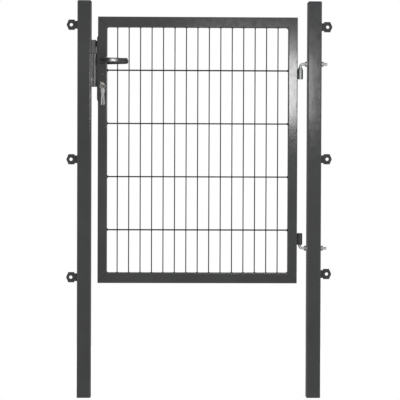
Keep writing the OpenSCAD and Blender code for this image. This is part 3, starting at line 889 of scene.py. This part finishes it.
@dataclass
class FrameWelds:
    """Beads at the leaf's mitred corners, one of which was welded twice."""

    corner_r: float = 0.0034
    corner_ripple: float = 0.18
    lumpy_r: float = 0.00459
    lumpy_ripple: float = 0.3
    corner_sides: int = 10
    corner_in: float = 0.002
    seam_r: float = 0.0011
    seam_ripple: float = 0.1
    seam_sides: int = 6
    # Where a seam starts and ends, as shares of the mitre's length from its inner end
    seam_reach: Reach = (0.03, 0.93)
    # X and Z from the inner corner, and radius, of each lump
    lumps: tuple[tuple[float, float, float], ...] = (
        (-0.004, -0.001, 0.0044), (-0.001, -0.006, 0.0040), (-0.009, 0.0, 0.0026), (0.0, -0.011, 0.0026)
    )
    lump_depth: float = 0.0032
    lump_in: float = 0.003
    seed: int = 23

    def build(self) -> None:
        """Lays the inner corner beads and the low seams along the mitres."""
        dice = random.Random(self.seed)
        stile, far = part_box("latch_stile"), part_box("hinge_stile")
        foot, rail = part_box("bottom_rail"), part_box("top_rail")
        depth = (stile[0].y, stile[1].y)
        shape = bmesh.new()
        for outer_x, inner_x in ((stile[0].x, stile[1].x), (far[1].x, far[0].x)):
            for outer_z, inner_z in ((foot[0].z, foot[1].z), (rail[1].z, rail[0].z)):
                inner, outer = Vector((inner_x, 0.0, inner_z)), Vector((outer_x, 0.0, outer_z))
                twice = outer_x == far[1].x and outer_z == rail[1].z
                self.corner(shape, dice, inner, depth, twice)
                self.seams(shape, dice, inner, outer, depth)
                if twice:
                    self.drip(shape, dice, inner + Vector((0.0, depth[0], 0.0)))
        piece("frame_corner_welds", shape, WELD_PAINT, Body.LEAF)

    def corner(
        self, shape: Shape, dice: random.Random, inner: Vector, depth: Reach, twice: bool
    ) -> None:
        """Lays the bead in one inner corner.

        Args:
            shape: Shape that takes the bead.
            dice: Source of its uneven ripples.
            inner: The inner corner.
            depth: Y of the frame's front and back.
            twice: Whether this corner was welded twice.
        """
        start = Vector((inner.x, depth[0] + self.corner_in, inner.z))
        end = Vector((inner.x, depth[1] - self.corner_in, inner.z))
        radius, ripple = self.corner_r, self.corner_ripple
        if twice:
            radius, ripple = self.lumpy_r, self.lumpy_ripple
        Bead(start, end, radius, ripple, self.corner_sides).lay(shape, dice)

    def seams(
        self, shape: Shape, dice: random.Random, inner: Vector, outer: Vector, depth: Reach
    ) -> None:
        """Lays the low seams along one mitre, in front and behind.

        Args:
            shape: Shape that takes the seams.
            dice: Source of their uneven ripples.
            inner: The mitre's inner end.
            outer: Its outer end.
            depth: Y of the frame's front and back.
        """
        near, rim = [inner + (outer - inner) * share for share in self.seam_reach]
        for y in depth:
            start, end = Vector((near.x, y, near.z)), Vector((rim.x, y, rim.z))
            Bead(start, end, self.seam_r, self.seam_ripple, self.seam_sides).lay(shape, dice)

    def drip(self, shape: Shape, dice: random.Random, inner: Vector) -> None:
        """Drops lumps of weld metal round one inner corner.

        Args:
            shape: Shape that takes the lumps.
            dice: Source of their uneven size.
            inner: The inner corner, at the frame's front.
        """
        for x, z, radius in self.lumps:
            size = (radius, self.lump_depth, radius)
            Blob(inner + Vector((x, self.lump_in, z)), size).lay(shape, dice)


@dataclass
class MeshWelds:
    """Spots of weld at the mesh's crossings and at the ends of its wires."""

    pitch: float = 0.050
    level_pitch: float = 0.232
    upright_d: float = 0.005
    level_d: float = 0.006
    bite: float = 0.001
    level_end: tuple[float, float, float] = (0.0042, 0.0048, 0.0056)
    level_end_in: float = 0.0012
    level_end_stray: float = 0.0008
    upright_end: tuple[float, float, float] = (0.0044, 0.0042, 0.0030)
    upright_end_in: float = 0.0008
    crossing: tuple[float, float, float] = (0.0036, 0.0022, 0.0036)
    seed: int = 37

    def build(self) -> None:
        """Places a drop at each end of each wire, and a small one where two wires cross."""
        dice = random.Random(self.seed)
        low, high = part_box("mesh_panel")
        centre = middle(low, high)
        layer = (self.upright_d + self.level_d) / 2 - self.bite
        xs = self.places((low.x, high.x), centre.x, self.upright_d, self.pitch)
        zs = self.places((low.z, high.z), centre.z, self.level_d, self.level_pitch)
        ends, spots = bmesh.new(), bmesh.new()
        for z in zs:
            for x in (low.x + self.level_end_in, high.x - self.level_end_in):
                for y in (-layer, layer):
                    stray = dice.uniform(-self.level_end_stray, self.level_end_stray)
                    Blob(Vector((x, y, z + stray)), self.level_end).lay(ends, dice)
        for x in xs:
            for z in (low.z + self.upright_end_in, high.z - self.upright_end_in):
                Blob(Vector((x, 0.0, z)), self.upright_end).lay(ends, dice)
        for x in xs:
            for z in zs:
                for y in (-layer / 2, layer / 2):
                    Blob(Vector((x, y, z)), self.crossing).lay(spots, dice)
        piece("mesh_end_welds", ends, WELD_PAINT, Body.LEAF)
        piece("mesh_crossing_welds", spots, SHADED_WIRE_PAINT, Body.LEAF)

    def places(self, reach: Reach, centre: float, wire: float, pitch: float) -> list[float]:
        """Works out where the wires of one layer lie.

        Args:
            reach: The mesh's two ends across these wires.
            centre: The mesh's middle.
            wire: Diameter of the wires.
            pitch: Distance from one wire to the next.

        Returns:
            The middles of the wires.
        """
        count = int((reach[1] - reach[0] - wire) / pitch)
        return [centre + (i - (count - 1) / 2) * pitch for i in range(count)]


@dataclass
class HingeHardware:
    """Nuts and threads of the hook hinges, and the beads at their sleeves."""

    flats: float = 0.019
    rod_r: float = 0.006
    bend_r: float = 0.013
    ridge: float = 0.00045
    root_in: float = 0.0004
    under_outer_nut: float = 0.001
    under_inner_nut: float = 0.003
    end_bare: float = 0.0002
    bead_r: float = 0.0026
    bead_ripple: float = 0.2
    bead_y: float = 0.0042
    bead_out: float = 0.0012
    bead_above_foot: float = 0.005
    bead_below_top: float = 0.015
    seed: int = 41

    def build(self) -> None:
        """Makes both hinges' nuts, threads and beads."""
        for hinge in Hinge:
            self.nuts(hinge)
            self.threads(hinge)
            self.beads(hinge)

    def rod_z(self, hinge: Hinge) -> float:
        """Height of a hook's level rod."""
        low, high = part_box(f"{hinge.value}_hinge_nuts")
        return (low.z + high.z) / 2

    def nuts(self, hinge: Hinge) -> None:
        """Makes one hinge's two nuts in place of the plain ones.

        Args:
            hinge: Which hinge.
        """
        low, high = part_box(f"{hinge.value}_hinge_nuts")
        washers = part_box(f"{hinge.value}_hinge_washers")
        shape = bmesh.new()
        for x0, x1 in ((low.x, washers[0].x), (washers[1].x, high.x)):
            Nut(Vector(((x0 + x1) / 2, 0.0, self.rod_z(hinge))), self.flats, x1 - x0).cut(shape)
        made = piece(f"{hinge.value}_hinge_chamfered_nuts", shape, ZINC, Body.POSTS)
        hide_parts(f"{hinge.value}_hinge_nuts")

    def threads(self, hinge: Hinge) -> None:
        """Winds the threads that show on both sides of the post.

        Args:
            hinge: Which hinge.
        """
        low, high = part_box(f"{hinge.value}_hinge_nuts")
        hook_low, hook_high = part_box(f"{hinge.value}_hook")
        z = self.rod_z(hinge)
        crest, root = self.rod_r + self.ridge, self.rod_r - self.root_in
        outer_x, outer_length = high.x - self.under_outer_nut, hook_high.x - high.x - self.end_bare
        inner_x = hook_low.x + self.rod_r + self.bend_r
        inner_length = low.x - inner_x + self.under_inner_nut
        shape = bmesh.new()
        Thread(Vector((outer_x, 0.0, z)), outer_length, root, crest).cut(shape)
        Thread(Vector((inner_x, 0.0, z)), inner_length, root, crest).cut(shape)
        piece(f"{hinge.value}_hook_threads", shape, LIT_ROD_ZINC, Body.POSTS)

    def beads(self, hinge: Hinge) -> None:
        """Lays the beads between a sleeve and its stile.

        Args:
            hinge: Which hinge.
        """
        dice = random.Random(self.seed + len(hinge.value))
        low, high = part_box(f"{hinge.value}_sleeve")
        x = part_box("hinge_stile")[1].x + self.bead_out
        foot, top = low.z + self.bead_above_foot, high.z - self.bead_below_top
        shape = bmesh.new()
        for y in (-self.bead_y, self.bead_y):
            start, end = Vector((x, y, foot)), Vector((x, y, top))
            Bead(start, end, self.bead_r, self.bead_ripple).lay(shape, dice)
        piece(f"{hinge.value}_sleeve_welds", shape, WELD_PAINT, Body.LEAF)


@dataclass
class LockFittings:
    """Bolt heads of the lock, and the screw and the beads of its keeper."""

    socket: float = 0.0075
    socket_depth: float = 0.0012
    screw_r: float = 0.0038
    screw_height: float = 0.0009
    screw_socket: float = 0.0034
    screw_in: float = 0.0115
    screw_drop: float = 0.024
    bead_r: float = 0.0022
    bead_ripple: float = 0.2
    bead_half: float = 0.010
    bead_in: float = 0.0045
    bead_out: float = 0.0004
    # Middles of the beads, as shares of the keeper's height
    bead_places: tuple[float, ...] = (0.12, 0.5, 0.88)
    seed: int = 53

    def build(self) -> None:
        """Makes the bolt heads, the keeper's screw and its beads."""
        self.bolts()
        self.keeper_screw()
        self.keeper_beads()

    def bolts(self) -> None:
        """Makes the two domed bolt heads in place of the plain ones."""
        low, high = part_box("lock_bolts")
        radius, height = (high.x - low.x) / 2, high.y - low.y
        shape = bmesh.new()
        for z in (low.z + radius, high.z - radius):
            seat = Vector(((low.x + high.x) / 2, high.y, z))
            SocketHead(seat, radius, height, self.socket, self.socket_depth).turn(shape)
        made = piece("lock_bolt_heads", shape, PAINT, Body.LEAF)
        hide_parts("lock_bolts")

    def keeper_screw(self) -> None:
        """Sets one flat screw into the keeper's pad."""
        seat = Vector((KEEPER_LOW.x + self.screw_in, KEEPER_LOW.y, KEEPER_HIGH.z - self.screw_drop))
        head = SocketHead(seat, self.screw_r, self.screw_height, self.screw_socket, self.socket_depth)
        shape = bmesh.new()
        head.turn(shape)
        piece("keeper_screw", shape, BOLT_STEEL, Body.POSTS)

    def keeper_beads(self) -> None:
        """Lays short beads between the keeper and the latch post."""
        dice = random.Random(self.seed)
        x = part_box("latch_post")[1].x + self.bead_out
        shape = bmesh.new()
        for y in (KEEPER_LOW.y + self.bead_in, KEEPER_HIGH.y):
            for share in self.bead_places:
                z = KEEPER_LOW.z + (KEEPER_HIGH.z - KEEPER_LOW.z) * share
                start, end = Vector((x, y, z - self.bead_half)), Vector((x, y, z + self.bead_half))
                Bead(start, end, self.bead_r, self.bead_ripple).lay(shape, dice)
        piece("keeper_welds", shape, WELD_PAINT, Body.POSTS)


# ---- Studio ----


@dataclass(frozen=True)
class Softbox:
    """Soft rectangular light that faces the gate's front, straight along +Y."""

    name: str
    z: float
    height: float
    watts: float
    x: float = -0.01
    y: float = -4.6
    width: float = 0.82

    def hang(self) -> None:
        """Hangs the light in the scene."""
        data = bpy.data.lights.new(self.name, "AREA")
        data.shape = "RECTANGLE"
        data.size, data.size_y = self.width, self.height
        data.energy = self.watts
        lamp = bpy.data.objects.new(self.name, data)
        bpy.context.scene.collection.objects.link(lamp)
        facing = Vector((0.0, 1.0, 0.0)).to_track_quat("-Z", "Y").to_matrix().to_4x4()
        lamp.matrix_world = Matrix.Translation((self.x, self.y, self.z)) @ facing


@dataclass
class Studio:
    """Pale floor, soft light and the camera."""

    eye_x: float = -0.62
    eye_z: float = 1.05
    distance: float = 6.4
    # Width of the view at the posts' front, and its middle there
    span: float = 1.7396
    middle_x: float = -0.4696
    middle_z: float = 0.8637
    yaw_deg: float = 1.1
    pitch_deg: float = 0.93
    roll_deg: float = 0.2
    sensor_mm: float = 36.0
    sight: float = 100.0
    floor_tone: float = 0.95
    floor_roughness: float = 0.9
    floor_glow: float = 0.60
    floor_r: float = 1.0
    floor_back: float = 0.9
    floor_sides: int = 96
    room_strength: float = 1.1
    # Place from behind the camera, 0, to behind the gate, 1, and the room's level there
    room_levels: tuple[Reach, ...] = (
        (0.0, 0.16), (0.03, 0.16), (0.12, 0.70), (0.48, 0.80), (0.62, 0.20), (0.90, 0.16)
    )
    softboxes: tuple[Softbox, ...] = (
        Softbox("window", z=1.56, height=0.48, watts=27.4),
        Softbox("window_head", z=1.88, height=0.17, watts=1.6),
    )

    def camera(self) -> None:
        """Stands the camera left of the leaf's middle and turns it a little right and down."""
        data = bpy.data.cameras.new("camera")
        eye = bpy.data.objects.new("camera", data)
        bpy.context.scene.collection.objects.link(eye)
        bpy.context.scene.camera = eye
        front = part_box("hinge_post")[0].y
        yaw, pitch = math.radians(self.yaw_deg), math.radians(self.pitch_deg)
        turn = (
            Matrix.Rotation(-yaw, 4, "Z")
            @ Matrix.Rotation(math.radians(90) - pitch, 4, "X")
            @ Matrix.Rotation(math.radians(self.roll_deg), 4, "Z")
        )
        eye.matrix_world = Matrix.Translation((self.eye_x, front - self.distance, self.eye_z)) @ turn
        data.sensor_width = self.sensor_mm
        data.lens = self.sensor_mm * self.distance / self.span
        axis_x = self.eye_x + self.distance * math.tan(yaw)
        axis_z = self.eye_z - self.distance * math.tan(pitch)
        data.shift_x = (self.middle_x - axis_x) / self.span
        data.shift_y = (self.middle_z - axis_z) / self.span
        data.clip_end = self.sight

    def floor(self) -> None:
        """Lays a pale floor under the feet, which glows a little and shows in no gloss."""
        shape = bmesh.new()
        place = Matrix.Translation((self.middle_x, self.floor_back, 0.0))
        disc(shape, self.floor_sides, self.floor_r, place)
        mesh = bpy.data.meshes.new("floor")
        shape.to_mesh(mesh)
        shape.free()
        ground = bpy.data.objects.new("floor", mesh)
        bpy.context.scene.collection.objects.link(ground)
        ground.visible_glossy = False
        graph = Graph("pale_floor")
        tone = self.floor_tone
        graph.shader.inputs["Base Color"].default_value = (tone, tone, tone, 1.0)
        graph.shader.inputs["Emission Color"].default_value = (1.0, 1.0, 1.0, 1.0)
        graph.fix("Emission Strength", self.floor_glow)
        graph.fix("Roughness", self.floor_roughness)
        mesh.materials.append(graph.material)

    def sky(self) -> None:
        """Lights the room: a white backdrop for the eye, and softer, uneven light on the gate."""
        world = bpy.data.worlds.new("room")
        bpy.context.scene.world = world
        world.use_nodes = True
        nodes, links = world.node_tree.nodes, world.node_tree.links
        nodes.clear()
        place = nodes.new("ShaderNodeTexCoord")
        split = nodes.new("ShaderNodeSeparateXYZ")
        span = nodes.new("ShaderNodeMapRange")
        span.inputs["From Min"].default_value = -1.0
        span.inputs["From Max"].default_value = 1.0
        ramp = nodes.new("ShaderNodeValToRGB")
        stops = ramp.color_ramp.elements
        stops[0].position, stops[1].position = self.room_levels[0][0], self.room_levels[-1][0]
        for at, _ in self.room_levels[1:-1]:
            stops.new(at)
        for stop, (_, level) in zip(stops, self.room_levels):
            stop.color = (level, level, level, 1.0)
        around = nodes.new("ShaderNodeBackground")
        around.inputs["Strength"].default_value = self.room_strength
        backdrop = nodes.new("ShaderNodeBackground")
        backdrop.inputs["Color"].default_value = (1.0, 1.0, 1.0, 1.0)
        seen = nodes.new("ShaderNodeLightPath")
        mix = nodes.new("ShaderNodeMixShader")
        out = nodes.new("ShaderNodeOutputWorld")
        links.new(place.outputs["Generated"], split.inputs["Vector"])
        links.new(split.outputs["Y"], span.inputs["Value"])
        links.new(span.outputs["Result"], ramp.inputs["Fac"])
        links.new(ramp.outputs["Color"], around.inputs["Color"])
        links.new(seen.outputs["Is Camera Ray"], mix.inputs["Fac"])
        links.new(around.outputs["Background"], mix.inputs[1])
        links.new(backdrop.outputs["Background"], mix.inputs[2])
        links.new(mix.outputs["Shader"], out.inputs["Surface"])

    def build(self) -> None:
        """Sets the whole studio up."""
        bpy.context.scene.view_settings.view_transform = "Standard"
        self.camera()
        self.floor()
        self.sky()
        for softbox in self.softboxes:
            softbox.hang()


def main() -> None:
    """Builds the gate's parts in order."""
    logging.basicConfig(level=logging.INFO, format="%(message)s")
    CarriedNodes().dress()
    LugWelds().build()
    FrameWelds().build()
    MeshWelds().build()
    HingeHardware().build()
    LockFittings().build()
    Studio().build()


if __name__ == "__main__":
    main()
